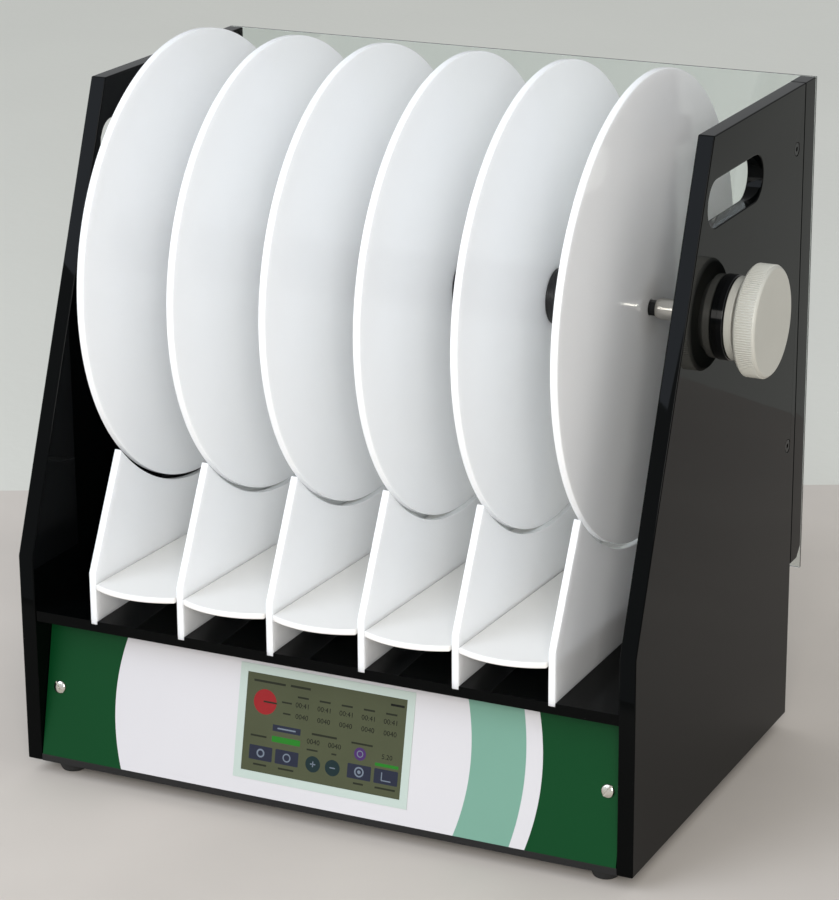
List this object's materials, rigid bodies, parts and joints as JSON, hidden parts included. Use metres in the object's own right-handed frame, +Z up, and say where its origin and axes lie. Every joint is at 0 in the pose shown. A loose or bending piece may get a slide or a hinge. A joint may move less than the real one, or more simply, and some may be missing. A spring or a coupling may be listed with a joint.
{
  "type": "rotarod",
  "caption": "Rotarod treadmill: a turning rod with round lane discs above hinged trip trays, between black side panels, on a base with a sloping touchscreen panel and a pull-out end knob.",
  "frame": {"origin": "on the bench, under the middle of the whole object's bounding box", "axes": "+X to the right as the user faces the control panel, along the rotor axis; +Y to the back; +Z up"},
  "size_m": [0.3854, 0.2603, 0.3982],
  "materials": {
    "black_acrylic": "polished",
    "white_acrylic": "polished",
    "clear_acrylic": "polished",
    "black_steel": "satin powder coat",
    "overlay_film": "printed polyester film",
    "frame_plastic": "printed border",
    "touch_glass": "clear",
    "display_black": "matt",
    "black_plastic": "moulded",
    "ribbed_black": "fine ribs",
    "white_plastic": "turned",
    "black_rubber": "moulded",
    "bright_steel": "polished",
    "steel": "ground",
    "black_screw": "black oxide",
    "aluminium": "machined",
    "circuit_board": "solder resist",
    "brass": "plated"
  },
  "bodies": {
    "root": {"left_side_panel": "black_acrylic", "right_side_panel": "black_acrylic", "deck_shelf": "black_acrylic", "screen_bars": "black_acrylic", "lane_wall_1": "white_acrylic", "lane_wall_2": "white_acrylic", "lane_wall_3": "white_acrylic", "lane_wall_4": "white_acrylic", "lane_wall_5": "white_acrylic", "lane_wall_6": "white_acrylic", "rear_screen": "clear_acrylic", "base_plate": "black_steel", "rear_cover": "black_steel", "front_plate": "black_steel", "motor_bracket": "black_steel", "front_overlay": "overlay_film", "display_frame": "frame_plastic", "touch_glass": "touch_glass", "display_module": "display_black", "mounting_blocks": "black_plastic", "bearing_bush": "black_plastic", "bush_nut": "black_plastic", "belt_cover": "black_plastic", "power_module": "black_plastic", "tray_catches": "black_plastic", "feet": "black_rubber", "tray_stops": "black_rubber", "drive_belt": "black_rubber", "face_screws": "bright_steel", "tray_hinge_rod": "steel", "ball_bearing": "steel", "gear_motor": "steel", "power_supply": "steel", "usb_port": "steel", "side_screws": "black_screw", "bearing_housing": "aluminium", "main_board": "circuit_board", "inlet_pins": "brass"},
    "rotor": {"rod_core": "aluminium", "rod_sleeves": "ribbed_black", "disc_1": "white_acrylic", "disc_2": "white_acrylic", "disc_3": "white_acrylic", "disc_4": "white_acrylic", "disc_5": "white_acrylic", "disc_6": "white_acrylic", "drive_spindle": "steel", "driven_pulley": "aluminium"},
    "motor_output": {"motor_pulley": "aluminium", "motor_shaft": "steel"},
    "knob": {"knob_shaft": "bright_steel", "drive_tip": "black_plastic", "knob_ring": "white_plastic", "release_knob": "white_plastic"},
    "rocker": {"rocker_switch": "black_plastic"},
    "trip_tray_1": {"tray_1": "white_acrylic"},
    "trip_tray_2": {"tray_2": "white_acrylic"},
    "trip_tray_3": {"tray_3": "white_acrylic"},
    "trip_tray_4": {"tray_4": "white_acrylic"},
    "trip_tray_5": {"tray_5": "white_acrylic"}
  },
  "joints": [
    {"name": "rotor_spin", "type": "hinge", "parent": "root", "child": "rotor", "pos_m": [0, 0.00165, 0.2732], "axis": [1, 0, 0], "continuous": true},
    {"name": "motor_spin", "type": "hinge", "parent": "root", "child": "motor_output", "pos_m": [-0.16515, 0.00165, 0.05], "axis": [1, 0, 0], "continuous": true},
    {"name": "knob_pull", "type": "slide", "parent": "rotor", "child": "knob", "axis": [1, 0, 0], "range_m": [0, 0.02]},
    {"name": "tray_1_drop", "type": "hinge", "parent": "root", "child": "trip_tray_1", "pos_m": [-0.11965, 0.08965, 0.1063], "axis": [1, 0, 0], "range_deg": [0, 2.6]},
    {"name": "tray_2_drop", "type": "hinge", "parent": "root", "child": "trip_tray_2", "pos_m": [-0.06565, 0.08965, 0.1063], "axis": [1, 0, 0], "range_deg": [0, 2.6]},
    {"name": "tray_3_drop", "type": "hinge", "parent": "root", "child": "trip_tray_3", "pos_m": [-0.01165, 0.08965, 0.1063], "axis": [1, 0, 0], "range_deg": [0, 2.6]},
    {"name": "tray_4_drop", "type": "hinge", "parent": "root", "child": "trip_tray_4", "pos_m": [0.04235, 0.08965, 0.1063], "axis": [1, 0, 0], "range_deg": [0, 2.6]},
    {"name": "tray_5_drop", "type": "hinge", "parent": "root", "child": "trip_tray_5", "pos_m": [0.09635, 0.08965, 0.1063], "axis": [1, 0, 0], "range_deg": [0, 2.6]},
    {"name": "power_rocker", "type": "hinge", "parent": "root", "child": "rocker", "pos_m": [0.10835, 0.11235, 0.0654], "axis": [1, 0, 0], "range_deg": [0, 16]}
  ],
  "couplings": [
    {"joint": "motor_spin", "follows": "rotor_spin", "ratio": 2}
  ]
}
